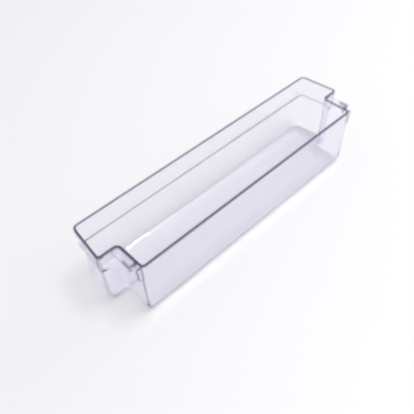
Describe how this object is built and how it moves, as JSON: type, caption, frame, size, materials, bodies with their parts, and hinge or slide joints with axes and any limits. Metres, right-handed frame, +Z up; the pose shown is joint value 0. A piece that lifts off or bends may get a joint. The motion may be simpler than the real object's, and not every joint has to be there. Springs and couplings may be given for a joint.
{
  "type": "fridge door shelf",
  "caption": "Clear moulded fridge door shelf: a long open tray, stepped in plan, with splayed ends, a collar above a shoulder, and a hanging flange, hook and ear at each end.",
  "frame": {"origin": "centre of the bounding box in plan, on the underside of the floor", "axes": "+X along the shelf, +Y from the front wall towards the door, +Z up"},
  "size_m": [0.4786, 0.114, 0.1],
  "materials": {
    "clear_plastic": "clear, polished, with a faint violet tint"
  },
  "bodies": {
    "root": {"door_shelf": "clear_plastic"}
  },
  "joints": []
}
